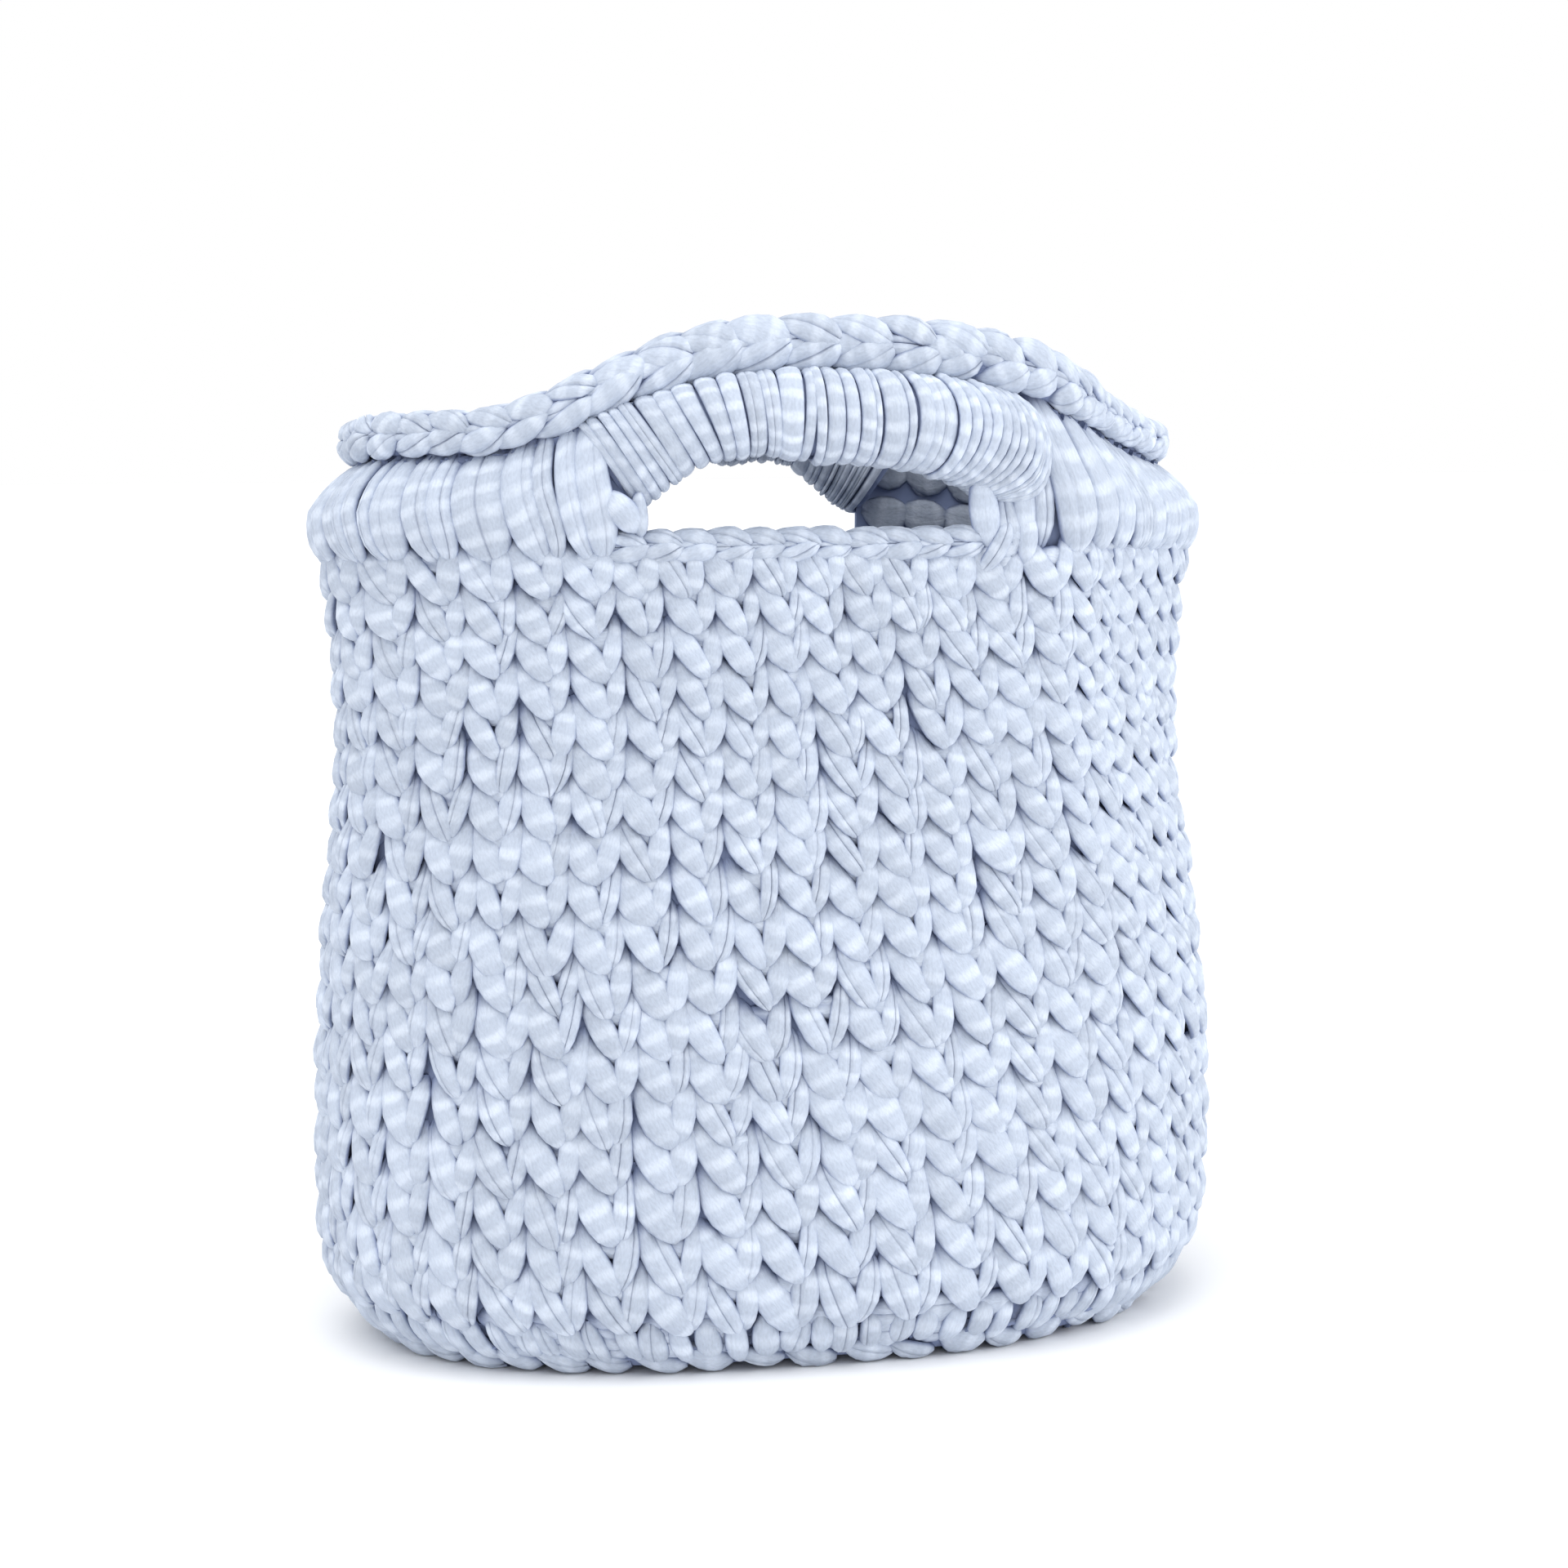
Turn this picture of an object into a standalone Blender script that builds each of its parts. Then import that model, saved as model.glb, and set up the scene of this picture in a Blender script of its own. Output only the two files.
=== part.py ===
"""Crochet bag in thick jersey yarn: an oval base, a tube of crochet rounds, two shoulders of long
stitches, two arched handles wrapped in yarn, a chain under each hand slot and a chain round the rim.
Metres, +Z up. The origin is on the floor under the middle of the bag and the front faces -Y.
Heights are given at the front: the back of the soft body sits a little lower."""

import math

import bmesh
import bpy

# Whole body
body_width = 0.271
body_depth = 0.142
bag_height = 0.298
back_drop = 0.011

# Base and wall
base_thickness = 0.011
base_end_inset = 0.017
base_side_inset = 0.010
base_edge_height = 0.030
wall_thickness = 0.0095
round_count = 17
lower_rounds = 9
round_rib = 0.0013

# Hand slots and the chain along each slot's lower edge
slot_width = 0.094
slot_height = 0.0165
slot_braid_height = 0.0105
slot_braid_depth = 0.013

# Wrapped handles
handle_height = 0.0235
handle_depth = 0.025
handle_foot_width = 0.013
handle_bulge = 0.0035
wrap_ridge = 0.0004

# Shoulders of long stitches
shoulder_height = 0.0290
shoulder_thickness = 0.011
shoulder_rib = 0.0007

# Rim chain
rim_height = 0.0115
rim_crest_height = 0.018
rim_depth = 0.015
rim_arch_short = 0.094
rim_arch_long = 0.116
rim_inset = 0.0015
rim_lobe = 0.0006

# Clearance between neighbouring pieces
fit_gap = 0.0003

# Mesh resolution
wall_segments = 54
base_levels = 4
rim_sections = 90
shoulder_sections = 32
handle_sections = 30
handle_corners = 12
braid_sections = 18
chain_corners = 8

# Shape shares without a length of their own
chain_squareness = 0.6
arch_roundness = 2.5
handle_foot_taper = 0.28
handle_corner = 0.72
outline_step = 0.003
bisection_steps = 40

# Fractions of the plan between which the front and the back are searched for a place along X
FRONT_SEARCH = (-0.2, 0.27)
BACK_SEARCH = (0.7, 0.3)

# Looks
yarn_blue = (0.485, 0.565, 0.730, 1.0)
yarn_roughness = 0.85

# Heights that follow from the sizes above
slot_floor = bag_height - rim_crest_height - handle_height - slot_height
wall_top = slot_floor - slot_braid_height - fit_gap
wall_middle = base_thickness + (wall_top - base_thickness) * lower_rounds / round_count
shoulder_foot = wall_top + fit_gap
shoulder_top = shoulder_foot + shoulder_height
rim_seat = shoulder_top + fit_gap
rim_crest_seat = bag_height - rim_crest_height

# Half lengths along X
slot_half = slot_width / 2
handle_half = slot_half + handle_foot_width

# Plan of the body seen from above, from the front's middle towards +X and on to the back's middle.
# The rest is the same turned by half a turn. Each row holds shares of half the width and half the
# depth: the round foot of the body, and its upper part with a fold at one corner.
PLAN = (
    # foot_x, foot_y, upper_x, upper_y
    (0.00, -1.00, 0.00, -1.00),
    (0.34, -0.98, 0.31, -1.00),
    (0.63, -0.85, 0.56, -0.95),
    (0.84, -0.60, 0.72, -0.64),
    (0.97, -0.27, 0.88, -0.26),
    (1.00, 0.08, 0.99, 0.14),
    (0.93, 0.45, 0.94, 0.52),
    (0.72, 0.77, 0.72, 0.83),
    (0.38, 0.96, 0.38, 0.98),
)

# Profile of the body: heights as shares of the bag's height, widths and depths as shares of the body's
PROFILE = (
    # height, width, depth
    (0.00, 0.985, 0.985),
    (0.12, 1.000, 1.000),
    (0.28, 0.998, 1.000),
    (0.42, 0.985, 0.985),
    (0.60, 0.957, 0.960),
    (0.74, 0.974, 0.955),
    (0.82, 0.995, 0.950),
    (0.88, 0.938, 0.925),
    (1.00, 0.930, 0.915),
)

# Shares of the bag's height between which the foot's plan turns into the upper one
PLAN_TURNS_FROM = 0.25
PLAN_TURNS_TO = 0.70

# Section of a shoulder: up its bulging outer side, then down its inner side
SHOULDER_SECTION = (
    # share of the height up to the rim, inset share of its thickness
    (0.00, 0.14),
    (0.25, 0.00),
    (0.55, -0.04),
    (0.82, 0.10),
    (1.00, 0.38),
    (1.00, 0.92),
    (0.60, 1.00),
    (0.00, 1.00),
)


def clear_scene():
    """Remove whatever objects the open file holds."""
    for item in list(bpy.data.objects):
        bpy.data.objects.remove(item, do_unlink=True)


def smooth(value):
    """Ease from 0 to 1 while value goes from 0 to 1."""
    value = min(max(value, 0.0), 1.0)
    return value * value * (3 - 2 * value)


def curve_through(a, b, c, d, share):
    """Smooth curve from b to c with a and d as its outer neighbours."""
    bend = 2 * a - 5 * b + 4 * c - d
    twist = 3 * (b - c) + d - a
    return b + 0.5 * share * (c - a + share * (bend + share * twist))


def profile_share(height, column):
    """Width or depth share of the body at a height, read smoothly from PROFILE."""
    share = min(max(height / bag_height, 0.0), 1.0)
    last = len(PROFILE) - 1
    row = 0
    while row < last - 1 and PROFILE[row + 1][0] < share:
        row += 1
    low, high = PROFILE[row], PROFILE[row + 1]
    before = PROFILE[max(row - 1, 0)][column]
    after = PROFILE[min(row + 2, last)][column]
    step = (share - low[0]) / (high[0] - low[0])
    return curve_through(before, low[column], high[column], after, step)


def plan_row(number, turned):
    """One point of the plan in shares. The second half of the rows is the first turned round."""
    half = len(PLAN)
    number %= 2 * half
    sign = 1 if number < half else -1
    foot_x, foot_y, upper_x, upper_y = PLAN[number % half]
    x = foot_x + (upper_x - foot_x) * turned
    y = foot_y + (upper_y - foot_y) * turned
    return sign * x, sign * y


def outline(fraction, height):
    """Outer point of the body at a height. Fraction 0 is the front's middle, 0.5 the back's."""
    turned = smooth((height / bag_height - PLAN_TURNS_FROM) / (PLAN_TURNS_TO - PLAN_TURNS_FROM))
    place = (fraction % 1.0) * 2 * len(PLAN)
    row = math.floor(place)
    near = [plan_row(row + step, turned) for step in (-1, 0, 1, 2)]
    x = curve_through(*(point[0] for point in near), place - row)
    y = curve_through(*(point[1] for point in near), place - row)
    half_width = body_width / 2 * profile_share(height, 1)
    half_depth = body_depth / 2 * profile_share(height, 2)
    tuck = max(0.0, 1 - height / base_edge_height) ** 2
    return x * (half_width - base_end_inset * tuck), y * (half_depth - base_side_inset * tuck)


def plan_point(fraction, height, inset):
    """Point of the outline moved inwards by inset, square to the outline."""
    x, y = outline(fraction, height)
    ahead = outline(fraction + outline_step, height)
    behind = outline(fraction - outline_step, height)
    along_x, along_y = ahead[0] - behind[0], ahead[1] - behind[1]
    length = math.hypot(along_x, along_y)
    return x - inset * along_y / length, y + inset * along_x / length


def fraction_at_x(x, height, inset, side):
    """Fraction where the inset outline crosses x, on the front (side -1) or the back (side 1)."""
    low, high = FRONT_SEARCH if side < 0 else BACK_SEARCH
    for _ in range(bisection_steps):
        middle = (low + high) / 2
        if plan_point(middle, height, inset)[0] < x:
            low = middle
        else:
            high = middle
    return (low + high) / 2


def sagged(x, y, height):
    """Final place of a point: the back of the body sits lower, more so towards the top."""
    rise = max(0.0, height - base_thickness) / (bag_height - base_thickness)
    return x, y, height - back_drop * rise * smooth(0.5 + y / body_depth)


def arch_share(x):
    """Share of the arch's rise at x. The arch reaches further towards +X."""
    arch_half = rim_arch_long if x > 0 else rim_arch_short
    share = min(abs(x) / arch_half, 1.0)
    return (1 - share**arch_roundness) ** 2


def rim_underside(x):
    """Height of the rim chain's underside: level on the shoulders, arched over the handles."""
    return rim_seat + (rim_crest_seat - rim_seat) * arch_share(x)


def rim_thickness(x):
    """Height of the rim chain itself, which grows towards the crest."""
    return rim_height + (rim_crest_height - rim_height) * arch_share(x)


def yarn_material(name):
    """Matt jersey yarn."""
    material = bpy.data.materials.new(name)
    material.use_nodes = True
    shader = material.node_tree.nodes["Principled BSDF"]
    shader.inputs["Base Color"].default_value = yarn_blue
    shader.inputs["Roughness"].default_value = yarn_roughness
    shader.inputs["Metallic"].default_value = 0.0
    return material


def skin(name, sections, ring):
    """Make one closed object over sections of equal length. A ring joins its last to its first."""
    mesh = bpy.data.meshes.new(name)
    shape = bmesh.new()
    rows = [[shape.verts.new(point) for point in section] for section in sections]
    if ring:
        rows.append(rows[0])
    size = len(sections[0])
    for lower, upper in zip(rows[:-1], rows[1:]):
        for corner in range(size):
            after = (corner + 1) % size
            shape.faces.new((lower[corner], lower[after], upper[after], upper[corner]))
    if not ring:
        shape.faces.new(rows[0])
        shape.faces.new(rows[-1])
    bmesh.ops.recalc_face_normals(shape, faces=shape.faces)
    shape.to_mesh(mesh)
    shape.free()
    mesh.shade_smooth()
    mesh.set_sharp_from_angle(angle=math.radians(50))
    item = bpy.data.objects.new(name, mesh)
    item.data.materials.append(yarn_material(name + "_yarn"))
    bpy.context.scene.collection.objects.link(item)
    return item


def make_base():
    """Oval plate with a flat underside and a rounded edge."""
    sections = []
    for level in range(base_levels + 1):
        height = base_thickness * level / base_levels
        ring = [plan_point(step / wall_segments, height, 0.0) for step in range(wall_segments)]
        sections.append([sagged(x, y, height) for x, y in ring])
    skin("base", sections, False)


def make_wall(name, foot, top, rounds):
    """Hollow tube of some crochet rounds. Each round swells out between two grooves."""
    pitch = (top - foot) / rounds
    half_steps = range(2 * rounds + 1)
    outer = [(foot + step * pitch / 2, 0.0 if step % 2 else round_rib) for step in half_steps]
    inner = [(foot + step * pitch, wall_thickness) for step in range(rounds, -1, -1)]
    sections = []
    for step in range(wall_segments):
        section = []
        for height, inset in outer + inner:
            x, y = plan_point(step / wall_segments, height, inset)
            section.append(sagged(x, y, height))
        sections.append(section)
    skin(name, sections, True)


def make_shoulder(name, end):
    """Band of long stitches round one end of the bag, between the two handles. End is -1 or 1."""
    x_cut = end * (handle_half + fit_gap)
    levels = []
    for height_share, inset_share in SHOULDER_SECTION:
        height = shoulder_foot + height_share * shoulder_height
        inset = inset_share * shoulder_thickness
        first = fraction_at_x(x_cut, height, inset, -1)
        last = fraction_at_x(x_cut, height, inset, 1)
        if end < 0:
            last -= 1
        levels.append((height_share, height, inset, first, last))
    sections = []
    for step in range(shoulder_sections + 1):
        share = step / shoulder_sections
        at_end = step in (0, shoulder_sections)
        groove = shoulder_rib if step % 2 and not at_end else 0.0
        section = []
        for height_share, plan_height, inset, first, last in levels:
            outside = inset < shoulder_thickness / 2
            depth = inset + (groove if outside else 0.0)
            x, y = plan_point(first + (last - first) * share, plan_height, depth)
            top = rim_underside(x) - fit_gap
            height = shoulder_foot + height_share * (top - shoulder_foot)
            section.append(sagged(x, y, height))
        sections.append(section)
    skin(name, sections, False)


def chain_section():
    """Corners of a chain's rounded section, as shares across and up that each reach -1 and 1."""
    turns = [math.tau * (corner + 0.5) / chain_corners for corner in range(chain_corners)]
    widest = abs(math.cos(turns[0])) ** chain_squareness
    tallest = max(math.sin(turn) for turn in turns)
    corners = []
    for turn in turns:
        across = abs(math.cos(turn)) ** chain_squareness / widest
        corners.append((math.copysign(across, math.cos(turn)), math.sin(turn) / tallest))
    return corners


def make_slot_braid(name, side):
    """Chain along the lower edge of one hand slot. Side is -1 for the front and 1 for the back."""
    sections = []
    height_middle = slot_floor - slot_braid_height / 2
    for step in range(braid_sections + 1):
        x = handle_half * (2 * step / braid_sections - 1)
        lobe = 0.0 if step % 2 else rim_lobe
        section = []
        for across, up in chain_section():
            inset = slot_braid_depth / 2 * (1 + across) - lobe
            height = height_middle + up * slot_braid_height / 2
            fraction = fraction_at_x(x, height_middle, inset, side)
            y = plan_point(fraction, height_middle, inset)[1]
            section.append(sagged(x, y, height))
        sections.append(section)
    skin(name, sections, False)


def handle_edges(share):
    """Slot-side and rim-side edge of the handle, as (x, height), while share goes from -1 to 1."""
    end = math.copysign(1.0, share)
    reach = abs(share)
    foot = slot_floor + fit_gap
    turn = reach * math.pi / 2
    inner_x = slot_half * math.sin(turn)
    inner_height = foot + (slot_height - fit_gap) * max(0.0, math.cos(turn))
    outer_x = handle_half * min(reach / handle_corner, 1.0)
    outer_height = rim_underside(end * outer_x) - fit_gap
    if reach > handle_corner:
        outer_height += (foot - outer_height) * (reach - handle_corner) / (1 - handle_corner)
    return (end * inner_x, inner_height), (end * outer_x, outer_height)


def make_handle(name, side):
    """Arched roll of wrapped yarn between the rim and one hand slot."""
    plan_height = rim_seat
    sections = []
    for step in range(handle_sections + 1):
        share = 2 * step / handle_sections - 1
        inner, outer = handle_edges(share)
        ridge = 0.0 if step % 2 else wrap_ridge
        depth = handle_depth * (1 - handle_foot_taper * abs(share) ** 3) / 2 - ridge
        section = []
        for corner in range(handle_corners):
            turn = math.tau * corner / handle_corners
            blend = (1 - math.cos(turn)) / 2
            x = inner[0] + (outer[0] - inner[0]) * blend
            height = inner[1] + (outer[1] - inner[1]) * blend
            fraction = fraction_at_x(x, plan_height, rim_depth / 2, side)
            y = plan_point(fraction, plan_height, rim_depth / 2)[1]
            bulge = handle_bulge * (1 - share * share)
            y += side * (bulge + depth * math.sin(turn))
            section.append(sagged(x, y, height))
        sections.append(section)
    skin(name, sections, False)


def make_rim():
    """Closed chain along the whole top edge, over both shoulders and both handles."""
    sections = []
    for step in range(rim_sections):
        fraction = step / rim_sections
        lobe = 0.0 if step % 2 else rim_lobe
        section = []
        for across, up in chain_section():
            inset = rim_inset + rim_depth / 2 * (1 + across) - lobe
            x, y = plan_point(fraction, rim_seat, inset)
            height = rim_underside(x) + rim_thickness(x) * (1 + up) / 2
            section.append(sagged(x, y, height))
        sections.append(section)
    skin("rim_braid", sections, True)


def main():
    """Build every piece."""
    clear_scene()
    make_base()
    make_wall("wall_lower", base_thickness + fit_gap, wall_middle, lower_rounds)
    make_wall("wall_upper", wall_middle + fit_gap, wall_top, round_count - lower_rounds)
    make_shoulder("shoulder_left", -1)
    make_shoulder("shoulder_right", 1)
    for word, side in (("front", -1), ("back", 1)):
        make_slot_braid("slot_braid_" + word, side)
        make_handle("handle_" + word, side)
    make_rim()


main()
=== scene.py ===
"""Looks of the crochet bag: every stitch, wrap and chain loop of thick jersey yarn as its own closed
strand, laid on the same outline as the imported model. Metres, +Z up, the front faces -Y."""

import math

import bpy
import numpy as np
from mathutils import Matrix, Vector


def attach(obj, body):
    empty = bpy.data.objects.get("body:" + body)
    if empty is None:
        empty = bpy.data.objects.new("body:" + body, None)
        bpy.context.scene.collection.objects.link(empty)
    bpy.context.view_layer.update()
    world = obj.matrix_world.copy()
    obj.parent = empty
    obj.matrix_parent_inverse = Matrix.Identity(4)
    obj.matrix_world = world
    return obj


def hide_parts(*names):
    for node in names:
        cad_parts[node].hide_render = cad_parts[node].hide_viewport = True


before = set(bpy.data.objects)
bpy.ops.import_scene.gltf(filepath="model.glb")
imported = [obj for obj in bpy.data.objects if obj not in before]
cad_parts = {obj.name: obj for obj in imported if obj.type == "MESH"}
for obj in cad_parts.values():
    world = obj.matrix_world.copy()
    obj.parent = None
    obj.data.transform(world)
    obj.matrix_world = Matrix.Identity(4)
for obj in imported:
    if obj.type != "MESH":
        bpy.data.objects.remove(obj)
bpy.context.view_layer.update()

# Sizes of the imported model, repeated because this script can't read its source
body_width = 0.271
body_depth = 0.142
bag_height = 0.298
back_drop = 0.011
base_thickness = 0.011
base_end_inset = 0.017
base_side_inset = 0.010
base_edge_height = 0.030
wall_thickness = 0.0095
slot_width = 0.094
slot_height = 0.0165
slot_braid_height = 0.0105
slot_braid_depth = 0.013
handle_height = 0.0235
handle_depth = 0.025
handle_foot_width = 0.013
handle_bulge = 0.0035
shoulder_height = 0.0290
shoulder_thickness = 0.011
rim_height = 0.0115
rim_crest_height = 0.018
rim_depth = 0.015
rim_arch_short = 0.094
rim_arch_long = 0.116
rim_inset = 0.0015
arch_roundness = 2.5

slot_floor = bag_height - rim_crest_height - handle_height - slot_height
wall_top = slot_floor - slot_braid_height
rim_seat = wall_top + shoulder_height
rim_crest_seat = bag_height - rim_crest_height
handle_half = slot_width / 2 + handle_foot_width

PLAN = np.array([
    # foot_x, foot_y, upper_x, upper_y
    (0.00, -1.00, 0.00, -1.00),
    (0.34, -0.98, 0.31, -1.00),
    (0.63, -0.85, 0.56, -0.95),
    (0.84, -0.60, 0.72, -0.64),
    (0.97, -0.27, 0.88, -0.26),
    (1.00, 0.08, 0.99, 0.14),
    (0.93, 0.45, 0.94, 0.52),
    (0.72, 0.77, 0.72, 0.83),
    (0.38, 0.96, 0.38, 0.98),
])
PLAN = np.vstack([PLAN, -PLAN])

PROFILE = np.array([
    # height, width, depth
    (0.00, 0.985, 0.985),
    (0.12, 1.000, 1.000),
    (0.28, 0.998, 1.000),
    (0.42, 0.985, 0.985),
    (0.60, 0.957, 0.960),
    (0.74, 0.974, 0.955),
    (0.82, 0.995, 0.950),
    (0.88, 0.938, 0.925),
    (1.00, 0.930, 0.915),
])

PLAN_TURNS_FROM, PLAN_TURNS_TO = 0.25, 0.70

# Rounds of stitches
columns = 46
rounds = 17
first_round = 0.0155
last_round = 0.2215
round_growth = 0.15
column_lean = 0.09
foot_spread = 0.17
top_spread = -0.13
stitch_width = 0.0147
stitch_height = 0.0122
wall_scale = (stitch_width, stitch_height)
stitch_inset = 0.0008

# Cores behind the strands: how far in their two sides lie, and their points round
core_front = 0.0042
core_back = 0.0070
core_points = 180

# Sides of the base
base_counts = (46, 40, 34, 28, 22, 16)
base_pitch = 0.0135
base_stitch = 0.0158
base_reach = 0.066
base_edge_inset = 0.006
base_spine = 0.47
base_under_level = 0.0024

# Lengths that a chart's units stand for: the shoulders' way round and height, half a roll, its radius
shoulder_scale = (0.66, 0.031)
left_roll_length = 0.062
right_roll_length = 0.073
roll_radius = 0.0118

# Chains
rim_length = 0.62
rim_loops = 57
right_slope = 0.165
rim_scale = (rim_length, 0.0068)
rim_strand = 0.0044
slot_loops = 12
slot_chain_half = 0.0520
slot_pitch = 0.0098
slot_scale = (1.0, 0.0058)
slot_strand = 0.0036

# Strands: how far their faces turn, in mm, how wide a crease is, and their least height over the floor
strand_turn = 0.42
crease_width = 0.06
floor_gap = 0.0003

# Colours: the yarn, its pale bands, and the painted shade colour that the hollows are multiplied by
yarn_color = (0.498, 0.553, 0.654, 1.0)
pale_color = (0.77, 0.83, 0.93, 1.0)
painted_shade_color = (0.40, 0.44, 0.59, 1.0)

MM = 0.001
rng = np.random.default_rng(7)


def smooth(value):
    value = np.clip(value, 0.0, 1.0)
    return value * value * (3 - 2 * value)


def curve_through(a, b, c, d, share):
    bend = 2 * a - 5 * b + 4 * c - d
    twist = 3 * (b - c) + d - a
    return b + 0.5 * share * (c - a + share * (bend + share * twist))


def profile_share(height, column):
    share = np.clip(height / bag_height, 0.0, 1.0)
    last = len(PROFILE) - 1
    row = np.clip(np.searchsorted(PROFILE[:, 0], share) - 1, 0, last - 1)
    step = (share - PROFILE[row, 0]) / (PROFILE[row + 1, 0] - PROFILE[row, 0])
    values = PROFILE[:, column]
    return curve_through(values[np.maximum(row - 1, 0)], values[row], values[row + 1],
                         values[np.minimum(row + 2, last)], step)


def outline(fraction, height):
    """Outer point of the body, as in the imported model."""
    turned = smooth((height / bag_height - PLAN_TURNS_FROM) / (PLAN_TURNS_TO - PLAN_TURNS_FROM))
    place = (fraction % 1.0) * len(PLAN)
    row = np.floor(place).astype(int)
    point = []
    for axis in (0, 1):
        near = []
        for step in (-1, 0, 1, 2):
            share = PLAN[(row + step) % len(PLAN)]
            near.append(share[..., axis] + (share[..., axis + 2] - share[..., axis]) * turned)
        point.append(curve_through(*near, place - row))
    tuck = np.maximum(0.0, 1 - height / base_edge_height) ** 2
    half_width = body_width / 2 * profile_share(height, 1) - base_end_inset * tuck
    half_depth = body_depth / 2 * profile_share(height, 2) - base_side_inset * tuck
    return point[0] * half_width, point[1] * half_depth


def sagged(x, y, height):
    rise = np.maximum(0.0, height - base_thickness) / (bag_height - base_thickness)
    return np.stack([x, y, height - back_drop * rise * smooth(0.5 + y / body_depth)], -1)


def plan_point(fraction, height, inset):
    """Point of the outline moved inwards by inset, square to the outline."""
    x, y = outline(fraction, height)
    ahead = outline(fraction + 0.003, height)
    behind = outline(fraction - 0.003, height)
    along_x, along_y = ahead[0] - behind[0], ahead[1] - behind[1]
    length = np.hypot(along_x, along_y)
    return x - inset * along_y / length, y + inset * along_x / length


# Shares of the way round by arc length, on a grid of heights
grid_heights = np.linspace(-0.004, bag_height, 78)
grid_shares = np.linspace(0.0, 1.0, 361)


def arc_grid():
    fractions = np.linspace(0.0, 1.0, 1081)
    rows = []
    for height in grid_heights:
        x, y = outline(fractions, np.full_like(fractions, height))
        length = np.concatenate([[0.0], np.cumsum(np.hypot(np.diff(x), np.diff(y)))])
        rows.append(np.interp(grid_shares, length / length[-1], fractions))
    return np.array(rows)


FRACTIONS = arc_grid()


def fraction_of(share, height):
    """Plan fraction at a share of the way round by arc length."""
    turns = np.floor(share)
    across = (share - turns) * (len(grid_shares) - 1)
    up = (height - grid_heights[0]) / (grid_heights[1] - grid_heights[0])
    up = np.clip(up, 0, len(grid_heights) - 1.001)
    i = np.floor(up).astype(int)
    j = np.minimum(np.floor(across).astype(int), len(grid_shares) - 2)
    s, t = up - i, across - j
    low = FRACTIONS[i, j] * (1 - t) + FRACTIONS[i, j + 1] * t
    high = FRACTIONS[i + 1, j] * (1 - t) + FRACTIONS[i + 1, j + 1] * t
    return turns + low * (1 - s) + high * s


def round_height(v):
    """Height of the bottom of the stitches of round v, on the front."""
    share = v / rounds
    inside = share * (1 + round_growth * (1 - share))
    low = share * (1 + round_growth)
    high = 1 + (share - 1) * (1 - round_growth)
    value = np.where(share < 0, low, np.where(share > 1, high, inside))
    return first_round + (last_round - first_round) * value


def column_share(u, v):
    """Share of the way round of a place u in stitches, in round v."""
    turn = (u + column_lean * (rounds - v)) / columns
    spread = foot_spread + (top_spread - foot_spread) * np.clip(v / rounds, 0, 1)
    return turn + spread * np.sin(4 * math.pi * turn) / (4 * math.pi)


def wall_chart(inset):
    """Chart of the wall: u in stitches, v in rounds."""
    def place(u, v):
        height = round_height(v)
        x, y = plan_point(fraction_of(column_share(u, v), height), height, inset)
        return sagged(x, y, height)
    return place


def arch_share(x):
    arch_half = np.where(x > 0, rim_arch_long, rim_arch_short)
    share = np.minimum(np.abs(x) / arch_half, 1.0)
    return (1 - share**arch_roundness) ** 2


def rim_underside(x):
    return rim_seat + (rim_crest_seat - rim_seat) * arch_share(x)


def rim_thickness(x):
    """The yarn's loops stand a little higher than the model on the low ends and the longer slope."""
    share = arch_share(x)
    extra = 0.0026 * (1 - share) + 0.0025 * np.exp(-(((x - 0.062) / 0.024) ** 2))
    return rim_height + (rim_crest_height - rim_height) * share + extra


def shoulder_inset(v):
    shares = np.interp(v, (0, 0.25, 0.55, 0.82, 1.0, 1.2), (0.14, 0.0, -0.04, 0.10, 0.30, 0.6))
    return shoulder_thickness * shares


def shoulder_chart(u, v):
    """Chart of a shoulder: u is the share of the way round, v goes from 0 at its foot to 1 at the rim."""
    plan_height = wall_top + v * shoulder_height
    x, y = plan_point(fraction_of(u, plan_height), plan_height, shoulder_inset(v))
    height = wall_top + v * (rim_underside(x) - wall_top)
    return sagged(x, y, height)


def shoulder_inner_chart(u, v):
    """Chart of a shoulder's inner side."""
    plan_height = wall_top + v * shoulder_height
    inset = np.full_like(u, shoulder_thickness - 0.0015)
    x, y = plan_point(fraction_of(u, plan_height), plan_height, inset)
    return sagged(x, y, wall_top + v * (rim_underside(x) - wall_top))


def rim_chart(u, v):
    """Chart of the rim: u is the share of the way round, v the angle from outwards over the top."""
    inset = rim_inset + rim_depth / 2 * (1 - np.cos(v))
    height = np.full_like(u, rim_seat)
    x, y = plan_point(fraction_of(u, height), height, inset)
    return sagged(x, y, rim_underside(x) + rim_thickness(x) * (1 + np.sin(v)) / 2)


edge_fractions = np.linspace(-0.24, 0.26, 241)


def edge_at(x, height, inset, side):
    """Depth of the inset outline at x, on the front (side -1) or the back (side 1)."""
    fractions = edge_fractions if side < 0 else 0.5 + edge_fractions
    px, py = plan_point(fractions, np.full_like(fractions, height), inset)
    order = np.argsort(px)
    return np.interp(x, px[order], py[order])


def rows_through(table, rows):
    """Resample a short table of rows smoothly to more rows."""
    table = np.array(table, float)
    place = np.linspace(0, len(table) - 1, rows)
    row = np.minimum(np.floor(place).astype(int), len(table) - 2)
    step = (place - row)[:, None]
    last = len(table) - 1
    return curve_through(table[np.maximum(row - 1, 0)], table[row], table[row + 1],
                         table[np.minimum(row + 2, last)], step)


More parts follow.
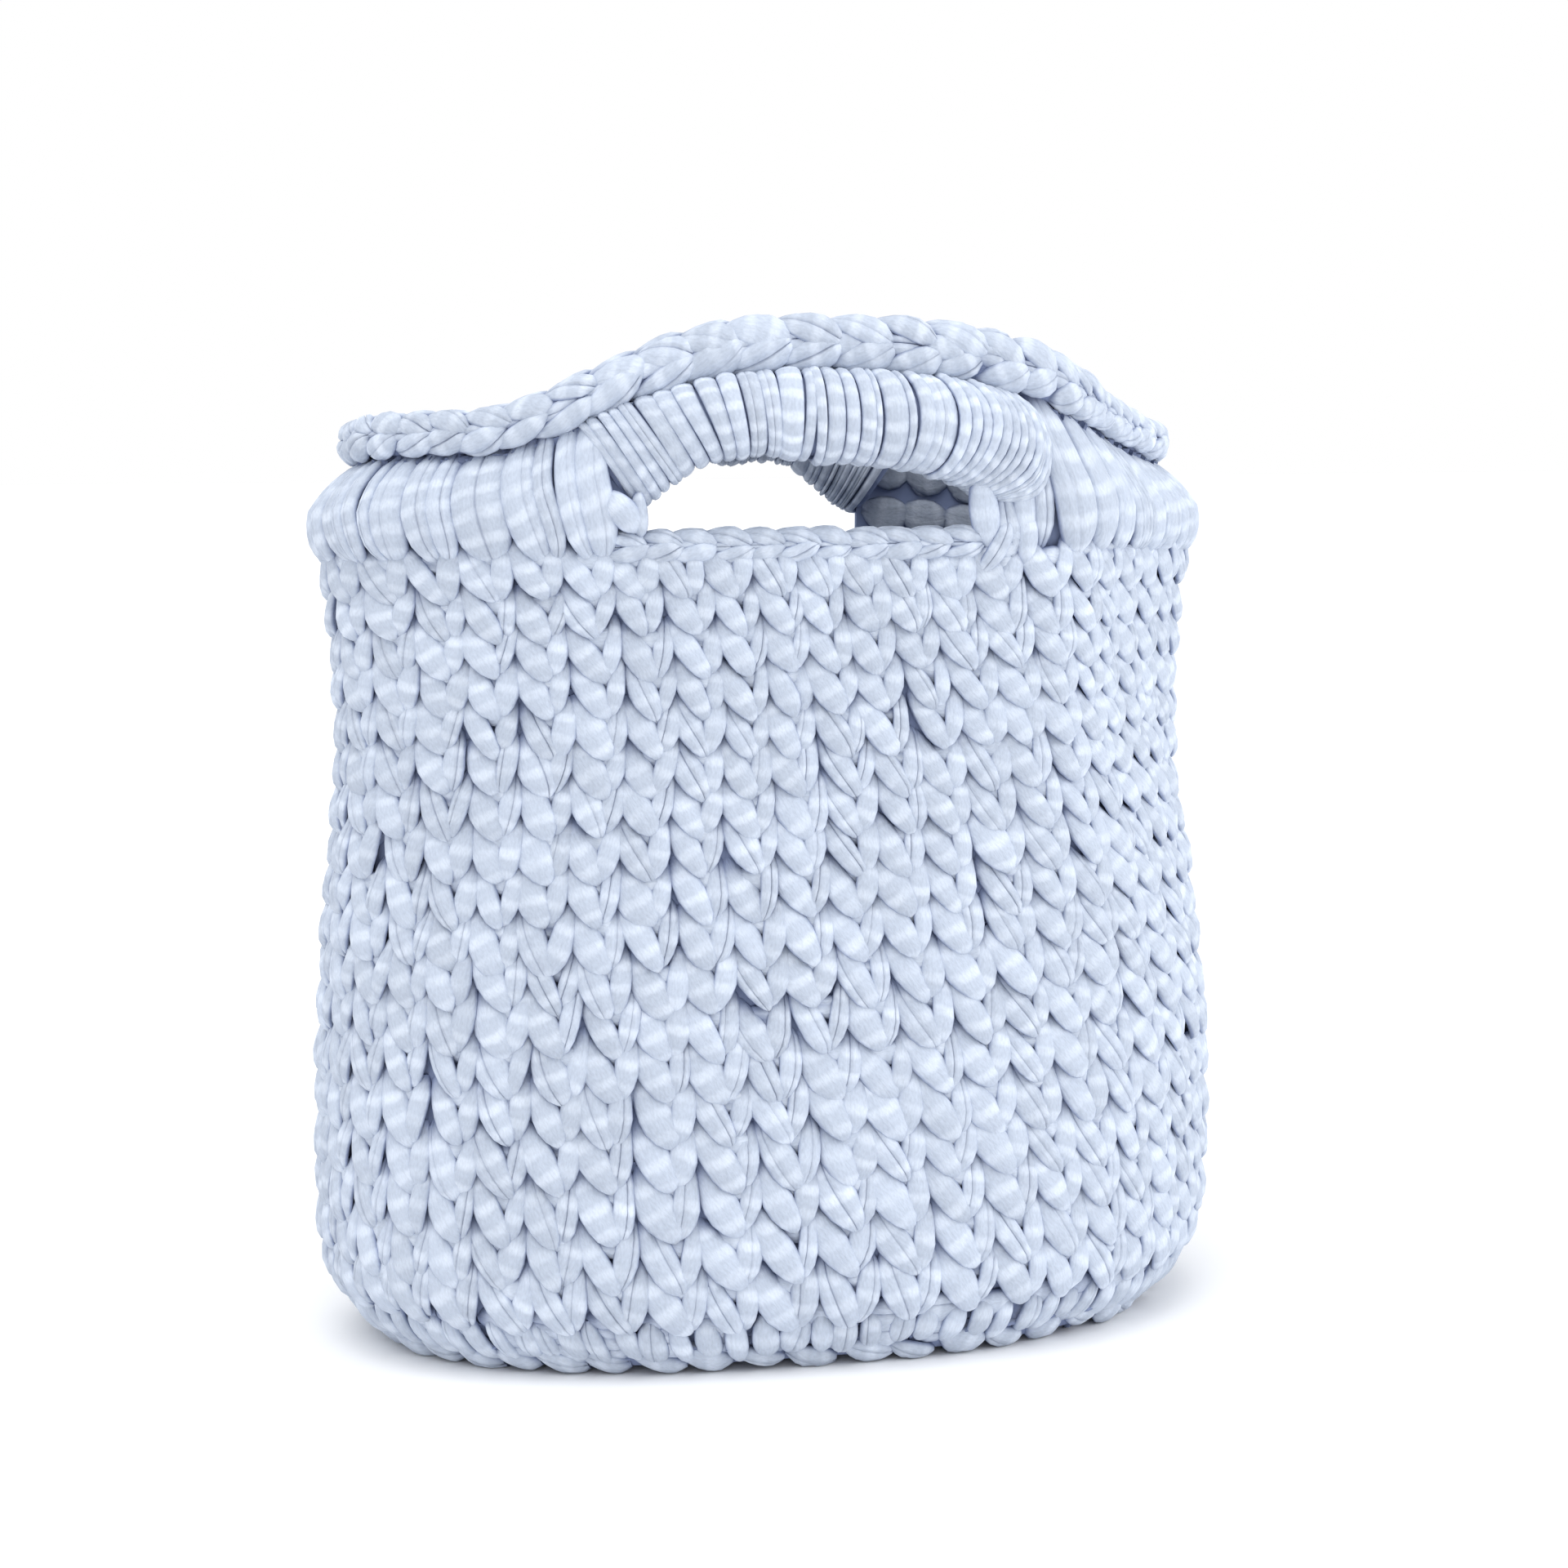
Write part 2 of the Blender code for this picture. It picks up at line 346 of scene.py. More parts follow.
# Each half of a handle from its middle to its end: inner x, inner height over the slot's floor,
# outer x, and how far the outer side falls below the rim
HANDLE_LEFT = rows_through((
    (0.0000, 0.0170, 0.0000, 0.0000),
    (0.0110, 0.0188, 0.0125, 0.0000),
    (0.0215, 0.0188, 0.0270, 0.0000),
    (0.0305, 0.0168, 0.0420, 0.0000),
    (0.0385, 0.0125, 0.0530, 0.0000),
    (0.0450, 0.0075, 0.0605, 0.0000),
    (0.0500, 0.0030, 0.0665, 0.0005),
), 61)
HANDLE_RIGHT = rows_through((
    (0.0000, 0.0170, 0.0000, 0.0000),
    (0.0110, 0.0166, 0.0105, 0.0000),
    (0.0215, 0.0153, 0.0215, 0.0000),
    (0.0310, 0.0134, 0.0330, 0.0000),
    (0.0390, 0.0108, 0.0450, 0.0000),
    (0.0450, 0.0072, 0.0570, 0.0008),
    (0.0500, 0.0034, 0.0670, 0.0055),
    (0.0545, -0.0006, 0.0715, 0.0150),
), 61)
BACK_RIGHT = rows_through((
    (0.0000, 0.0215, 0.0000, 0.0000),
    (0.0100, 0.0230, 0.0110, 0.0000),
    (0.0185, 0.0210, 0.0220, 0.0000),
    (0.0250, 0.0155, 0.0330, 0.0000),
    (0.0310, 0.0105, 0.0445, 0.0000),
    (0.0370, 0.0065, 0.0545, 0.0003),
    (0.0430, 0.0030, 0.0615, 0.0015),
    (0.0500, 0.0000, 0.0665, 0.0050),
), 61)


def handle_chart(side):
    """Chart of a handle: u from -1 to 1 along it, v the angle round its section from the slot side."""
    def place(u, v):
        end, reach = np.where(u < 0, -1.0, 1.0), np.minimum(np.abs(u), 1.0)
        steps = np.linspace(0, 1, 61)
        right = HANDLE_RIGHT if side < 0 else BACK_RIGHT
        inner_x, inner_rise, outer_x, outer_fall = (
            np.where(u < 0, np.interp(reach, steps, HANDLE_LEFT[:, k]), np.interp(reach, steps, right[:, k]))
            for k in range(4))
        inner_height = slot_floor + inner_rise
        if side > 0:
            inner_height = inner_height + 0.0045 * (1 - reach * reach) * (u < 0)
        outer_height = rim_underside(end * outer_x) + 0.003 - outer_fall
        blend = (1 - np.cos(v)) / 2
        x = end * (inner_x + (outer_x - inner_x) * blend)
        height = inner_height + (outer_height - inner_height) * blend
        depth = handle_depth * (1 - np.where(u < 0, 0.42, 0.20) * reach**3) / 2
        y = edge_at(x, rim_seat, rim_depth / 2, side)
        y = y + side * (handle_bulge * (1 - u * u) + depth * np.sin(v))
        return sagged(x, y, height)
    return place


def front_chart(side):
    """Chart of the front or the back beside a slot: u along X and v the height, in metres."""
    def place(u, v):
        return sagged(u, edge_at(u, slot_floor, 0.0, side), v)
    return place


def slot_braid_chart(side):
    """Chart of a slot braid: u along X in metres, v the angle from outwards over the top."""
    def place(u, v):
        middle = slot_floor - slot_braid_height / 2
        inset = slot_braid_depth / 2 * (1 - np.cos(v))
        y = edge_at(u, middle, 0.0, side) - side * inset
        return sagged(u, y, middle + slot_braid_height / 2 * np.sin(v))
    return place


def base_chart(level):
    """Chart of the base's flat sides: u is the share of the way round, v from 0 at the edge to 1."""
    def place(u, v):
        edge = np.full_like(u, 0.0 if level < base_thickness else base_thickness)
        x, y = plan_point(fraction_of(u, edge), edge, base_edge_inset)
        return np.stack([x + (x * base_spine - x) * v, y * (1 - v), np.full_like(x, level)], -1)
    return place


# Section of a strand: places across from -1 to 1 on its front, then back again behind
FRONT = np.array([-1.0, -0.95, -0.80, -0.42, -0.07, 0.0, 0.07, 0.42, 0.80, 0.95, 1.0])
BACK = np.array([0.6, 0.0, -0.6])
COARSE_FRONT = np.array([-1.0, -0.86, -0.42, 0.0, 0.42, 0.86, 1.0])
COARSE_BACK = np.array([0.0])


def add_piece(mesh, nodes, material):
    """Place a mesh in the scene under its own name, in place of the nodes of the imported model."""
    mesh.materials.append(material)
    item = bpy.data.objects.new(mesh.name, mesh)
    bpy.context.scene.collection.objects.link(item)
    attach(item, "root")
    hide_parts(*nodes)


def steps_along(u, v, scale, ring):
    """Unit steps along centre lines in a chart; those of rings run on from the last row to the first."""
    if ring:
        du = np.roll(u, -1, 1) - np.roll(u, 1, 1)
        dv = (np.roll(v, -1, 1) - np.roll(v, 1, 1) + math.pi) % math.tau - math.pi
    else:
        du, dv = np.gradient(u, axis=1), np.gradient(v, axis=1)
    du, dv = du * scale[0], dv * scale[1]
    size = np.hypot(du, dv) + 1e-12
    return du / size, dv / size


def raised(chart, u, v, scale, off):
    """Points of a chart moved out of it by off, and never below the floor."""
    eu, ev = 0.0006 / scale[0], 0.0006 / scale[1]
    by_u = chart(u + eu, v) - chart(u - eu, v)
    by_v = chart(u, v + ev) - chart(u, v - ev)
    normal = np.cross(by_u, by_v)
    normal /= np.linalg.norm(normal, axis=-1, keepdims=True) + 1e-12
    point = chart(u, v) + off[..., None] * normal
    point[..., 2] = np.maximum(point[..., 2], floor_gap)
    return point


class Yarn:
    """Collects strands and turns them into one object."""

    def __init__(self):
        self.points, self.faces, self.marks, self.levels, self.count = [], [], [], [], 0

    def lay(self, chart, u, v, half, lift, drop, scale, outward=1.0, crease_at=0.0, crease=0.0,
            ring=False, thick=1.3 * MM, shade=None, coarse=False):
        """Lay N strands of R rows. u, v: centre line in the chart; half: half width; lift: height of the
        front's middle over the chart; drop: how far the edges fall behind it; scale: metres per unit of
        u and v. All are arrays of N by R, or values that spread to it. Coarse strands lie half hidden."""
        front_row, back_row = (COARSE_FRONT, COARSE_BACK) if coarse else (FRONT, BACK)
        u, v = np.broadcast_arrays(np.asarray(u, float), np.asarray(v, float))
        n, r = u.shape
        half, lift, drop, crease = (
            np.broadcast_to(np.asarray(a, float), (n, r))[..., None] for a in (half, lift, drop, crease))
        crease_at = np.broadcast_to(np.asarray(crease_at, float).reshape(-1, 1), (n, 1))
        along_u, along_v = steps_along(u, v, scale, ring)
        step = np.hypot(np.diff(u, axis=1) * scale[0], np.diff(v, axis=1) * scale[1])
        along = np.concatenate([np.zeros((n, 1)), np.cumsum(step, 1)], 1) + rng.uniform(0, 1, (n, 1))
        section = len(front_row) + len(back_row)
        front = front_row[None] + crease_at * (1 - front_row[None] ** 2)
        across = np.concatenate([front, np.broadcast_to(back_row, (n, len(back_row)))], 1)[:, None]
        arc = np.maximum(0.0, 1 - np.abs(across) ** 2.7) ** 0.6
        turned = rng.uniform(-strand_turn, strand_turn, (n, 1, 1)) * MM * across * arc
        gap = np.exp(-(((across - crease_at[..., None]) / crease_width) ** 2))
        off = lift - drop * (1 - arc) + turned - crease * gap * (np.abs(across) < 0.95)
        behind = np.arange(section) >= len(front_row)
        off = np.where(behind, lift - drop - thick * arc, off)
        uu = u[..., None] + along_v[..., None] * half * across / scale[0]
        vv = v[..., None] - along_u[..., None] * half * across / scale[1]
        self.points.append(raised(chart, uu, vv, scale, outward * off).reshape(-1, 3))
        # Shade: a random tone per strand unless given; a given low value is painted shade
        if shade is None:
            shade = rng.uniform(-1, 1, n)
        mark = np.empty((n, r, section, 3))
        mark[..., 0] = across * half + rng.uniform(0, 1, (n, 1, 1))
        mark[..., 1] = along[..., None]
        mark[..., 2] = np.asarray(shade).reshape(-1, 1, 1)
        self.marks.append(mark.reshape(-1, 3))
        # Painted shade: the colour is darkened where a strand lies low in a hollow, at its own edges and in
        # its creases
        level = np.clip((off + 2.7 * MM) / (2.2 * MM), 0, 1)
        level = level * (1 - 0.72 * smooth((np.abs(across) - 0.86) / 0.14))
        level = level * (1 - 0.5 * gap * np.clip(crease / MM, 0, 1))
        self.levels.append(level.ravel())
        self._join(n, r, section, ring, outward)

    def _join(self, n, r, section, ring, outward):
        """Quads round N strands of R rows, and their closed ends."""
        base = self.count + np.arange(n)[:, None, None] * r * section
        i, j = np.arange(r if ring else r - 1), np.arange(section)
        here, ahead = i[None, :, None] * section, ((i + 1) % r)[None, :, None] * section
        near, far = j[None, None], ((j + 1) % section)[None, None]
        corners = (here + near, here + far, ahead + far, ahead + near)
        quads = np.stack([base + corner for corner in corners], -1).reshape(-1, 4)
        self.faces.append(quads if outward > 0 else quads[:, ::-1])
        if not ring:
            self._caps(base, r, section, outward)
        self.count += n * r * section

    def _caps(self, base, r, section, outward):
        """Close both ends with strips of quads."""
        pairs = [(j, section - 1 - j) for j in range(section // 2)]
        for row, flip in ((0, False), (r - 1, True)):
            for (a, z), (b, y) in zip(pairs[:-1], pairs[1:]):
                quad = base[:, 0] + row * section + np.array([[z, y, b, a]])
                self.faces.append(quad if (flip == (outward > 0)) else quad[:, ::-1])

    def build(self, name, nodes, material):
        points, faces = np.concatenate(self.points), np.concatenate(self.faces)
        mesh = bpy.data.meshes.new(name)
        mesh.vertices.add(len(points))
        mesh.vertices.foreach_set("co", points.astype(np.float32).ravel())
        mesh.loops.add(faces.size)
        mesh.loops.foreach_set("vertex_index", faces.astype(np.int32).ravel())
        mesh.polygons.add(len(faces))
        mesh.polygons.foreach_set("loop_start", np.arange(0, faces.size, 4, dtype=np.int32))
        mesh.update(calc_edges=True)
        mesh.validate()
        marks = mesh.attributes.new("yarn", "FLOAT_VECTOR", "POINT")
        marks.data.foreach_set("vector", np.concatenate(self.marks).astype(np.float32).ravel())
        # The level attribute carries the painted shade
        levels = mesh.attributes.new("level", "FLOAT", "POINT")
        levels.data.foreach_set("value", np.concatenate(self.levels).astype(np.float32))
        mesh.shade_smooth()
        add_piece(mesh, nodes, material)


def closed_shell(name, nodes, sections, material):
    """Closed tube through rings of points, each an array of M by 3."""
    stack = np.array(sections)
    n, m = stack.shape[:2]
    piece = Yarn()
    i, j = np.meshgrid(np.arange(n), np.arange(m), indexing="ij")
    k, l = (i + 1) % n, (j + 1) % m
    piece.points.append(stack.reshape(-1, 3))
    marks = np.zeros((n, m, 3))
    marks[..., 0], marks[..., 1] = i * 0.004, j * 0.004
    piece.marks.append(marks.reshape(-1, 3))
    # Level zero everywhere: the whole shell takes the full painted shade colour
    piece.levels.append(np.zeros(n * m))
    piece.faces.append(np.stack([i * m + j, k * m + j, k * m + l, i * m + l], -1).reshape(-1, 4))
    piece.count = n * m
    piece.build(name, nodes, material)


def tube(name, nodes, sections, material):
    """Closed solid through open rows of sections, with flat ends."""
    stack = np.array(sections)
    n, m = stack.shape[:2]
    mesh = bpy.data.meshes.new(name)
    faces = [list(range(m))[::-1], [(n - 1) * m + j for j in range(m)]]
    for i in range(n - 1):
        for j in range(m):
            l = (j + 1) % m
            faces.append([i * m + j, i * m + l, (i + 1) * m + l, (i + 1) * m + j])
    mesh.from_pydata(stack.reshape(-1, 3).tolist(), [], faces)
    mesh.validate()
    # With no level attribute the yarn material reads zero, so the solid takes the full painted shade colour
    add_piece(mesh, nodes, material)


def shrunk(ring, share):
    """A ring of points drawn in towards its middle."""
    middle = ring.mean(0)
    return middle + (ring - middle) * share


def yarn_material(name, spacing, paleness):
    """Matt jersey yarn with pale bands across it, fine knit ribs along it, and painted shade from the level
    attribute.
    """
    material = bpy.data.materials.new(name)
    material.use_nodes = True
    nodes, links = material.node_tree.nodes, material.node_tree.links
    shader = nodes["Principled BSDF"]
    shader.inputs["Roughness"].default_value = 0.9
    shader.inputs["Specular IOR Level"].default_value = 0.25

    def node(kind, **values):
        made = nodes.new(kind)
        for key, value in values.items():
            setattr(made, key, value)
        return made

    def maths(operation, first, second=0.5, third=None):
        made = node("ShaderNodeMath", operation=operation)
        for slot, value in enumerate((first, second, third)):
            if value is None:
                continue
            if isinstance(value, (int, float)):
                made.inputs[slot].default_value = value
            else:
                links.new(value, made.inputs[slot])
        return made.outputs[0]

    place = node("ShaderNodeAttribute", attribute_name="yarn")
    parts = node("ShaderNodeSeparateXYZ")
    links.new(place.outputs["Vector"], parts.inputs[0])
    across, along, shade = parts.outputs

    def noise(detail, across_scale, along_scale):
        stretch = node("ShaderNodeCombineXYZ")
        links.new(maths("MULTIPLY", across, across_scale), stretch.inputs[0])
        links.new(maths("MULTIPLY", along, along_scale), stretch.inputs[1])
        made = node("ShaderNodeTexNoise", noise_dimensions="2D")
        made.inputs["Scale"].default_value = 1.0
        made.inputs["Detail"].default_value = detail
        links.new(stretch.outputs[0], made.inputs["Vector"])
        return made.outputs[0]

    # Pale bands across the yarn
    wave = noise(1.0, 90.0, 70.0)
    wobble = maths("MULTIPLY_ADD", wave, 0.0032, along)
    band = maths("SINE", maths("MULTIPLY", wobble, math.tau / spacing))
    band = maths("MULTIPLY_ADD", band, 0.5, 0.5)
    pale = node("ShaderNodeMapRange", interpolation_type="SMOOTHSTEP")
    links.new(band, pale.inputs["Value"])
    pale.inputs["From Min"].default_value = 0.30
    pale.inputs["From Max"].default_value = 1.05

    # Fine knit ribs along the yarn and soft folds
    rib = noise(2.0, 1700.0, 700.0)
    fold = noise(1.0, 450.0, 50.0)

    tint = node("ShaderNodeMix", data_type="RGBA")
    tint.inputs["A"].default_value = yarn_color
    tint.inputs["B"].default_value = pale_color
    strength = maths("MULTIPLY_ADD", wave, 1.2, -0.1)
    factor = maths("MULTIPLY", maths("MULTIPLY", pale.outputs[0], paleness), strength)
    links.new(factor, tint.inputs["Factor"])
    # A random tone per strand from shade, and painted shade where a low shade is given
    bright = maths("MULTIPLY_ADD", shade, 0.06, 1.0)
    bright = maths("MULTIPLY_ADD", rib, 0.28, maths("SUBTRACT", bright, 0.14))
    scaled = node("ShaderNodeVectorMath", operation="SCALE")
    links.new(tint.outputs["Result"], scaled.inputs[0])
    links.new(bright, scaled.inputs["Scale"])

    # Painted shade in the hollows, at the strands' edges and in creases, read from the level attribute
    depth = node("ShaderNodeAttribute", attribute_name="level")
    hollow = node("ShaderNodeMapRange", interpolation_type="SMOOTHSTEP")
    links.new(depth.outputs["Fac"], hollow.inputs["Value"])
    shadow = node("ShaderNodeMix", data_type="RGBA")
    shadow.inputs["A"].default_value = painted_shade_color
    shadow.inputs["B"].default_value = (1.0, 1.0, 1.0, 1.0)
    links.new(hollow.outputs[0], shadow.inputs["Factor"])
    deep = node("ShaderNodeVectorMath", operation="MULTIPLY")
    links.new(scaled.outputs[0], deep.inputs[0])
    links.new(shadow.outputs["Result"], deep.inputs[1])
    links.new(deep.outputs[0], shader.inputs["Base Color"])

    height = maths("MULTIPLY_ADD", rib, 0.25, maths("MULTIPLY", fold, 0.6))
    bump = node("ShaderNodeBump")
    bump.inputs["Strength"].default_value = 0.55
    bump.inputs["Distance"].default_value = 0.0012
    links.new(height, bump.inputs["Height"])
    links.new(bump.outputs[0], shader.inputs["Normal"])
    return material


yarn = yarn_material("jersey_yarn", 0.0068, 0.75)
wound_yarn = yarn_material("wound_jersey_yarn", 0.0057, 0.90)

# Limbs of one stitch: x across in stitches, y up in rounds, half width in stitches, lift in mm
LEFT_LIMB = (
    (0.635, -0.13, 0.06, -0.6),
    (0.61, -0.03, 0.135, 1.1),
    (0.56, 0.13, 0.235, 2.1),
    (0.46, 0.37, 0.305, 2.3),
    (0.35, 0.63, 0.325, 1.8),
    (0.255, 0.88, 0.315, 0.8),
    (0.18, 1.12, 0.285, -0.2),
    (0.13, 1.36, 0.21, -1.2),
    (0.10, 1.54, 0.09, -2.6),
)
RIGHT_LIMB = (
    (0.665, -0.06, 0.05, -1.0),
    (0.715, 0.09, 0.13, 0.5),
    (0.785, 0.34, 0.19, 1.8),
    (0.85, 0.62, 0.215, 2.0),
    (0.895, 0.90, 0.21, 1.2),
    (0.93, 1.16, 0.20, 0.0),
    (0.95, 1.39, 0.16, -1.0),
    (0.96, 1.57, 0.08, -2.6),
)
# The strand behind the stitches that shows where two rounds meet
BACK_LOOP = (
    (0.20, 1.03, 0.09, -2.2),
    (0.44, 0.96, 0.23, -0.5),
    (0.70, 0.93, 0.28, 0.1),
    (0.94, 0.98, 0.22, -0.6),
    (1.14, 1.05, 0.08, -2.2),
)


def stitch_grid(first, last):
    """Column and round of every stitch of some rounds, each as a column of numbers."""
    grids = np.meshgrid(np.arange(columns), np.arange(first, last), indexing="ij")
    return [grid.ravel()[:, None] for grid in grids]


def wall_stitches(piece, first, last):
    """Rounds of stitches: each is a wide left limb over a slimmer right one."""
    chart = wall_chart(stitch_inset)
    index_u, index_v = stitch_grid(first, last)
    n = len(index_u)
    turn = index_u / columns * math.tau
    shift_u = (rng.normal(0, 0.032, (n, 1)) + 0.10 * np.sin(2 * turn + 0.61 * index_v)
               + 0.06 * np.sin(7 * turn - index_v))
    shift_v = (rng.normal(0, 0.030, (n, 1)) + 0.08 * np.sin(3 * turn + 0.9 * index_v)
               + 0.05 * np.sin(8 * turn + 2.3 * index_v))
    for table, rows, creased in ((LEFT_LIMB, 9, 0.34), (RIGHT_LIMB, 8, 0.5), (BACK_LOOP, 5, 0.3)):
        limb = rows_through(table, rows)
        swell = np.clip(rng.normal(1.0, 0.10, (n, 1)), 0.8, 1.3)
        bend = rng.normal(0, 0.06, (n, 1)) * (limb[:, 1] - 0.5)
        u = index_u + limb[:, 0] + shift_u + bend - 0.5
        v = index_v + limb[:, 1] * rng.normal(1.0, 0.03, (n, 1)) + shift_v
        ripple = 1 + 0.07 * np.sin(rng.uniform(0, math.tau, (n, 1)) + 4.2 * limb[:, 1])
        half = limb[:, 2] * stitch_width * swell * ripple
        lift = limb[:, 3] * MM - 0.5 * MM + rng.normal(0, 0.3 * MM, (n, 1))
        drop = 0.0020 * np.sqrt(half / (0.28 * stitch_width))
        body = np.clip(half / (0.15 * stitch_width), 0, 1)
        chosen = rng.uniform(size=(n, 1)) < creased
        crease = body * np.where(chosen, rng.uniform(0.4, 1.0, (n, 1)), 0.0) * MM
        piece.lay(chart, u, v, half, lift, drop, wall_scale, crease_at=rng.uniform(-0.45, 0.45, n),
                  crease=crease, coarse=table is BACK_LOOP)


for name, first, last in (("wall_low", 0, 6), ("wall_middle", 6, 12), ("wall_high", 12, 18)):
    piece = Yarn()
    wall_stitches(piece, first, last)
    piece.build(name, ["wall_lower", "wall_upper"], yarn)


def wall_core():
    """Solid core behind the stitches, so that no light passes between them; its colour is painted shade."""
    core_heights = np.linspace(0.004, wall_top - 0.002, 24)
    sections = []
    for share in np.arange(core_points) / core_points:
        section = []
        for inset, heights in ((core_front, core_heights), (core_back, core_heights[::-1])):
            at = np.full_like(heights, share)
            x, y = plan_point(fraction_of(at, heights), heights, inset)
            section.append(sagged(x, y, heights))
        sections.append(np.concatenate(section))
    closed_shell("wall_core", ["wall_lower", "wall_upper"], sections[::-1], yarn)


wall_core()

# Inner side of the wall: a bar and a post for each stitch, in the same columns of numbers
INNER_BAR = (
    (-0.18, 0.62, 0.07, -1.6),
    (0.08, 0.56, 0.19, 0.6),
    (0.42, 0.50, 0.24, 1.3),
    (0.76, 0.54, 0.20, 0.9),
    (1.08, 0.62, 0.08, -1.4),
)
INNER_POST = (
    (0.40, 0.02, 0.06, -1.6),
    (0.46, 0.20, 0.17, 0.3),
    (0.52, 0.42, 0.20, 0.2),
    (0.56, 0.66, 0.10, -1.6),
)


def wall_inner():
    piece = Yarn()
    index_u, index_v = stitch_grid(-1, 18)
    n = len(index_u)
    for table, rows in ((INNER_BAR, 7), (INNER_POST, 5)):
        limb = rows_through(table, rows)
        u = index_u + limb[:, 0] + rng.normal(0, 0.04, (n, 1))
        v = index_v + limb[:, 1] + rng.normal(0, 0.04, (n, 1))
        half = limb[:, 2] * stitch_height * 1.6 * rng.normal(1, 0.09, (n, 1))
        lift = limb[:, 3] * MM + rng.normal(0, 0.2 * MM, (n, 1)) - 0.9 * MM
        piece.lay(wall_chart(wall_thickness), u, v, half, lift, 0.0018, wall_scale, outward=-1.0,
                  crease_at=rng.uniform(-0.3, 0.3, n), crease=0.4 * MM, coarse=True)
    piece.build("wall_inner", ["wall_lower", "wall_upper"], yarn)


wall_inner()

# Edge round of the base: short posts, the lumps of the base's outermost round below them, and
# strands that fill the hollows above and between them
EDGE_POST = (
    (0.50, 0.16, 0.08, -1.6),
    (0.49, 0.00, 0.17, 0.3),
    (0.47, -0.22, 0.215, 1.4),
    (0.45, -0.46, 0.225, 1.6),
    (0.44, -0.68, 0.18, 0.9),
    (0.44, -0.86, 0.08, -1.2),
)
EDGE_LUMP = (
    (-0.16, -0.72, 0.10, -1.6),
    (0.06, -0.80, 0.22, 0.3),
    (0.34, -0.88, 0.27, 1.1),
    (0.62, -0.95, 0.24, 0.8),
    (0.86, -1.02, 0.12, -1.2),
)
EDGE_TOP = (
    (0.20, 0.03, 0.10, -2.0),
    (0.44, 0.01, 0.26, -0.7),
    (0.70, -0.01, 0.31, -0.3),
    (0.94, 0.01, 0.26, -0.8),
    (1.14, 0.03, 0.10, -2.0),
)
EDGE_BACK = (
    (0.20, -0.44, 0.10, -2.0),
    (0.44, -0.46, 0.26, -0.5),
    (0.70, -0.48, 0.32, -0.1),
    (0.94, -0.46, 0.26, -0.6),
    (1.14, -0.44, 0.10, -2.0),
)
EDGE_TABLES = (
    # table, size that its half widths are shares of, strands to a stitch, rows
    (EDGE_POST, stitch_width, 2, 10),
    (EDGE_LUMP, stitch_height, 1, 9),
    (EDGE_TOP, stitch_width, 1, 6),
    (EDGE_BACK, stitch_width, 1, 6),
)


def base_edge():
    piece = Yarn()
    for table, across, per_stitch, rows in EDGE_TABLES:
        limb = rows_through(table, rows)
        n = columns * per_stitch
        index_u = np.arange(n)[:, None] / per_stitch
        u = index_u + limb[:, 0] + rng.normal(0, 0.05, (n, 1))
        u = u + rng.normal(0, 0.10, (n, 1)) * (limb[:, 1] + 0.4)
        v = limb[:, 1] * rng.normal(1, 0.05, (n, 1)) + rng.normal(0, 0.04, (n, 1))
        half = limb[:, 2] * across * np.clip(rng.normal(1.06, 0.12, (n, 1)), 0.8, 1.35)
        lift = limb[:, 3] * MM - 0.4 * MM + rng.normal(0, 0.3 * MM, (n, 1))
        piece.lay(wall_chart(stitch_inset), u, v, half, lift, 0.0022, wall_scale,
                  crease_at=rng.uniform(-0.4, 0.4, n), crease=rng.choice([0.0, 0.7], (n, 1)) * MM)
    piece.build("base_edge", ["wall_lower", "base"], yarn)


def base_side(name, level, outward):
    """Flat rounds of the base, under the bag or inside it."""
    piece = Yarn()
    for ring, count in enumerate(base_counts):
        for table in (LEFT_LIMB, RIGHT_LIMB):
            limb = rows_through(table, 7)
            index = np.arange(count)[:, None]
            u = (index + limb[:, 0] + 0.3 * ring + rng.normal(0, 0.03, (count, 1))) / count
            v = (ring + 0.9 - limb[:, 1] + rng.normal(0, 0.03, (count, 1))) / (len(base_counts) + 0.3)
            half = limb[:, 2] * base_stitch * rng.normal(1, 0.08, (count, 1))
            lift = (limb[:, 3] - 1.9) * 0.5 * MM + np.zeros((count, 1))
            piece.lay(base_chart(level), u, np.clip(v, 0, 0.99), half, lift, 0.0016,
                      (base_pitch * count, base_reach), outward=outward,
                      crease_at=rng.uniform(-0.3, 0.3, count), crease=0.3 * MM, coarse=True)
    piece.build(name, ["base"], yarn)


def base_core():
    sections = []
    for height in np.linspace(0.0022, 0.0092, 3):
        shares = np.arange(core_points) / core_points
        heights = np.full(core_points, height)
        x, y = plan_point(fraction_of(shares, heights), heights, 0.004)
        sections.append(np.stack([x, y, heights], -1))
    tube("base_core", ["base"], sections, yarn)


base_edge()
base_side("base_under", base_under_level, -1.0)
base_side("base_floor", base_thickness, 1.0)
base_core()

# Shoulders: long leaning loops, each of one to three strands. They narrow at the foot
LONG_LOOP = (
    # u in pitches, v from the foot to the rim, share of the full spread, lift in mm
    (0.25, 0.03, 0.25, -1.2),
    (0.22, 0.11, 0.62, 1.0),
    (0.16, 0.25, 0.90, 2.1),
    (0.06, 0.45, 0.96, 2.3),
    (-0.06, 0.65, 0.94, 1.5),
    (-0.15, 0.84, 0.97, 0.8),
    (-0.20, 1.00, 1.00, -0.2),
    (-0.22, 1.14, 0.90, -2.0),
)


def x_shares(x, side):
    """Share of the way round at x, at the shoulders' height."""
    shares = np.linspace(-0.24, 0.24, 241) + (0.0 if side < 0 else 0.5)
    height = np.full_like(shares, wall_top + 0.01)
    px = outline(fraction_of(shares, height), height)[0]
    order = np.argsort(px)
    return float(np.interp(x, px[order], shares[order]))


